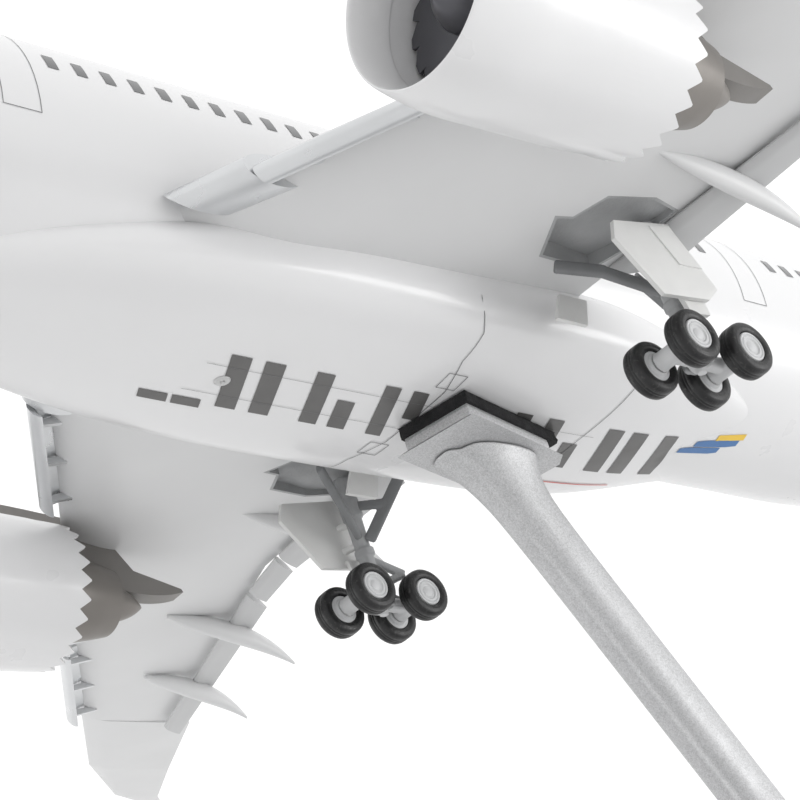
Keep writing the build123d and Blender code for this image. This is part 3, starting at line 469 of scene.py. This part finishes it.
def wheels(centre, name):
    """Pair of tyres and hubs on one axle of the main gear."""
    tyres, hubs = [], []
    half = TYRE_SPACING / 2
    for side in (1, -1):
        place = (centre[0] + side * half, centre[1], centre[2])
        tyres.append(wheel(place, side, TYRE))
        hubs.append(wheel(place, side, HUB))
    axle = wheel(centre, 1, [(-half, 0.02), (-half, 0.48), (half, 0.48), (half, 0.02)], 32)
    body = f"wheels_{name}"
    piece(f"{name}_tyres", *merge(*tyres), rubber, body, (f"tyres_{name}",), sharp=50)
    piece(f"{name}_hubs", *merge(*hubs, axle), hub_grey, body, (f"hubs_{name}",), sharp=28)


for side_name, side in SIDES:
    x = side * TRACK_HALF
    for end_name, end in (("front", -1), ("rear", 1)):
        wheels((x, end * AXLE_OFFSET, AXLE_Z), f"{end_name}_{side_name}")
    # bogie: beam, axle tubes and the boss under the pivot, melted into one casting
    beam = [bar((x, -4.3, AXLE_Z), (x, 4.3, AXLE_Z), 1.5, 1.5),
            wheel((x, 0, AXLE_Z), 1, [(-0.72, 0.64), (-0.72, 1.15), (0.72, 1.15), (0.72, 0.64)], 40),
            bar((x, 0, -23.3), (x, 0, -24.25), 1.3, 1.5, up=(0, 1, 0), taper=0.75, corner=0.5)]
    tube = [(-1.5, 0.56), (-1.5, 1.12), (-1.2, 1.02), (1.2, 1.02), (1.5, 1.12), (1.5, 0.56)]
    for end in (-1, 1):
        beam.append(wheel((x, end * AXLE_OFFSET, AXLE_Z), 1, tube, 40))
    cast(piece(f"bogie_cast_{side_name}", *merge(*beam), hub_grey, f"bogie_{side_name}",
               (f"bogie_{side_name}",)), 0.11, 3)
    # leg: squarish tapered column with a collar, a fork over the bogie and folding links behind
    leg = [bar((x, -1.7, -7.0), (x, -1.0, -12.2), 2.5, 2.1, up=(0, 1, 0), corner=0.35),
           bar((x, -1.1, -11.8), (x, -0.4, -19.4), 1.9, 1.7, up=(0, 1, 0), taper=0.85, corner=0.3),
           bar((x, -0.65, -16.0), (x, -0.55, -16.9), 2.3, 2.1, up=(0, 1, 0), corner=0.4),
           bar((x, -0.1, -19.2), (x, 0, -21.9), 3.1, 1.9, up=(0, 1, 0), corner=0.3),
           bar((x - 1.2, 0, -21.6), (x - 1.2, 0, -23.5), 0.66, 1.9, up=(0, 1, 0), corner=0.35),
           bar((x + 1.2, 0, -21.6), (x + 1.2, 0, -23.5), 0.66, 1.9, up=(0, 1, 0), corner=0.35),
           bar((x, -0.2, -17.2), (x - side * 1.6, 3.0, -19.6), 1.0, 0.9),
           bar((x - side * 1.6, 3.0, -19.5), (x, 0.2, -20.6), 0.9, 0.9)]
    cast(piece(f"leg_cast_{side_name}", *merge(*leg), cast_grey, stands_for=(f"main_leg_{side_name}",)),
         0.12, 2)
    # strut door with a raised pad at its upper rear corner and a small foot plate
    door = [(-9.2, -9.9), (-1.0, -8.4), (2.2, -13.6), (3.3, -15.4), (1.5, -17.0), (-5.2, -17.7),
            (-9.9, -12.2)]
    inset = [(-8.6, -10.2), (-1.3, -8.9), (1.8, -13.8), (2.8, -15.4), (1.2, -16.6), (-5.0, -17.2),
             (-9.2, -12.3)]
    rings = [[row((side * w, u, v)) for u, v in shape]
             for w, shape in ((28.1, inset), (28.2, door), (28.7, door), (28.85, inset))]
    pad_outline = [(-4.4, -9.6), (-1.3, -9.0), (1.6, -13.4), (-1.6, -13.6)]
    small = [[row((side * w, u, v)) for u, v in pad_outline] for w in (28.7, 29.0)]
    foot = [[row((side * w, u, v)) for u, v in ((-2.0, -16.6), (1.2, -16.3), (1.6, -18.4), (-1.2, -18.8))]
            for w in (27.6, 28.1)]
    arms = [bar((x + side * 0.6, -1.0, h), (side * 28.3, -1.6, h), 0.9, 0.7) for h in (-12.2, -15.2)]
    piece(f"strut_door_panel_{side_name}", *merge(skin(rings), skin(small), skin(foot), *arms),
          door_white, stands_for=(f"strut_door_{side_name}",), sharp=20)
    # forked side brace and the folding brace ahead of the leg
    brace = [bar((side * 20.2, 2.6, -8.5), (side * 24.9, -0.5, -15.4), 0.5, 1.5),
             bar((side * 22.4, 1.1, -11.6), (side * 25.2, -1.0, -10.8), 0.5, 1.2),
             bar((side * 20.2, -9.6, -9.8), (side * 23.0, -5.6, -11.4), 0.9, 1.4),
             bar((side * 22.7, -6.0, -11.2), (side * 25.6, -1.2, -14.6), 0.9, 1.3)]
    cast(piece(f"brace_cast_{side_name}", *merge(*brace), dark_grey,
               stands_for=(f"gear_braces_{side_name}",)), 0.12, 1)


# --- foam pad and stand ----------------------------------------------------------------------
SADDLE_YAW = 14
TURN = Matrix.Rotation(math.radians(SADDLE_YAW), 3, "Z")


def stand_point(u, v, z):
    """Point on the turned saddle, above the desk."""
    return TURN @ (Vector((u, v, z)) / 1000)


BELLY_DROP, PAD_GAP = 16.0, 0.25
PAD_TOP = AXIS_Z - BELLY_DROP - PAD_GAP
PAD_THICKNESS, PLATE_THICKNESS = 1.3, 1.9
PAD_X, PAD_Y = 4.3, 8.3
foam_outline = [(PAD_X, -PAD_Y + 2 * PAD_Y * i / 24) for i in range(25)]
foam_outline += [(PAD_X - 2 * PAD_X * i / 12, PAD_Y) for i in range(1, 13)]
foam_outline += [(-PAD_X, PAD_Y - 2 * PAD_Y * i / 24) for i in range(1, 25)]
foam_outline += [(-PAD_X + 2 * PAD_X * i / 12, -PAD_Y) for i in range(1, 12)]
random.seed(4)
rings = []
for z, grow in ((-1.3, -0.05), (-1.25, 0.05), (-0.9, 0.1), (-0.4, 0.02), (-0.05, 0.0), (0.0, -0.1)):
    ring = []
    for u, v in foam_outline:
        wobble = random.uniform(-0.05, 0.05) + grow
        ring.append(stand_point(u + math.copysign(wobble, u) * (abs(u) > 4),
                                v + math.copysign(wobble, v) * (abs(v) > 8), PAD_TOP + z))
    rings.append(ring)
pad = piece("foam_pad", *skin(rings), foam, "stand", ("saddle_pad",), sharp=60)

# leaning arm: a narrow front face, a valley along it and a deep rounded port side
PLATE_BOTTOM = PAD_TOP - PAD_THICKNESS - PLATE_THICKNESS
ARM_LEAN = 33.6
ARM_FOOT = 7.6  # sunk a little into the top of the base
ARM_SCALE = 0.87
SLOPE = math.tan(math.radians(ARM_LEAN))
SECTION = [(-1.9, -3.7), (-0.9, -4.1), (0.1, -4.05), (0.45, -3.8), (0.6, -3.2), (0.95, -2.95), (1.7, -2.8),
           (2.3, -1.6), (2.45, 0.6), (2.2, 2.8), (1.2, 3.95), (-0.3, 4.2), (-1.5, 3.9), (-2.2, 2.9),
           (-2.35, 0.8), (-2.35, -1.6), (-2.25, -3.1)]
arm_rings = []
for drop, wide, deep in ((0.0, 1.75, 1.8), (0.5, 1.6, 1.66), (1.4, 1.4, 1.45), (2.8, 1.22, 1.26),
                         (4.6, 1.09, 1.11), (7.5, 1.0, 1.0), (30, 1, 1), (60, 1, 1), (90, 1, 1), (100, 1, 1),
                         (104, 1.15, 1.12), (106, 1.6, 1.4), (107, 2.2, 1.8)):
    drop = min(drop, PLATE_BOTTOM - ARM_FOOT)
    arm_rings.append([Vector((ARM_SCALE * u * wide, ARM_SCALE * v * deep + drop * SLOPE,
                              PLATE_BOTTOM - drop)) / 1000 for u, v in SECTION])
arm = piece("arm_casting", *skin(arm_rings), silver, "stand", ("stand_arm",), sharp=70)
edge = [(4.05, -8.1), (4.05, 6.6), (2.6, 8.1), (-4.05, 8.1), (-4.05, -8.1)]
plate_rings = []
for z, grow in ((-2.0, -0.9), (-1.5, -0.25), (-1.3, 0.0), (-0.95, 0.03), (-0.9, -0.04), (-0.62, -0.04),
                (-0.57, 0.04), (-0.3, 0.04), (-0.25, -0.02), (0.0, 0.0)):
    plate_rings.append([stand_point(u + math.copysign(grow, u), v + math.copysign(grow, v),
                                    PLATE_BOTTOM + PLATE_THICKNESS + z) for u, v in edge])
piece("saddle_plate", *skin(plate_rings), silver, "stand", sharp=20)
detail = arm.modifiers.new("detail", "SUBSURF")
detail.levels = detail.render_levels = 2


# --- stage, light and camera -----------------------------------------------------------------
bpy.ops.mesh.primitive_plane_add(size=6, location=(0, 0, -0.0002))
floor = bpy.context.object
floor.name = "desk_top"
floor.data.materials.append(finish("desk_top", (0.86, 0.86, 0.86), 0.6, mottle=0.01, grain=10, bump=0.0))


def softbox(name, place, target, size, power):
    """Round area lamp turned towards a target."""
    light = bpy.data.lights.new(name, "AREA")
    light.shape = "DISK"
    light.size = size
    light.energy = power
    lamp = bpy.data.objects.new(name, light)
    bpy.context.scene.collection.objects.link(lamp)
    lamp.location = place
    lamp.rotation_euler = (Vector(target) - Vector(place)).to_track_quat("-Z", "Y").to_euler()


softbox("key", (0.45, 0.35, 0.03), (0, 0.02, 0.12), 0.35, 1.6)
softbox("fill", (-0.5, -0.3, 0.05), (0, 0, 0.12), 0.3, 0.3)
world = bpy.data.worlds.new("studio")
world.use_nodes = True
world.node_tree.nodes["Background"].inputs["Color"].default_value = (1, 1, 1, 1)
world.node_tree.nodes["Background"].inputs["Strength"].default_value = 1.12
bpy.context.scene.world = world
bpy.context.scene.view_settings.view_transform = "Standard"

# place and axes of the camera beside the aircraft
LENS = 97.97
CAMERA_PLACE = (137.132, -153.965, -122.133)
CAMERA_RIGHT = (0.59902, 0.76781, -0.22726)
CAMERA_UP = (0.51312, -0.15019, 0.84507)
CAMERA_BACK = (0.61472, -0.62283, -0.48395)
lens = bpy.data.cameras.new("camera")
lens.lens = LENS
lens.sensor_width = 36
lens.clip_start = 0.005
camera = bpy.data.objects.new("camera", lens)
bpy.context.scene.collection.objects.link(camera)
facing = Matrix((CAMERA_RIGHT, CAMERA_UP, CAMERA_BACK)).transposed().to_4x4()
camera.matrix_world = Matrix.Translation(row(CAMERA_PLACE)) @ facing
bpy.context.scene.camera = camera
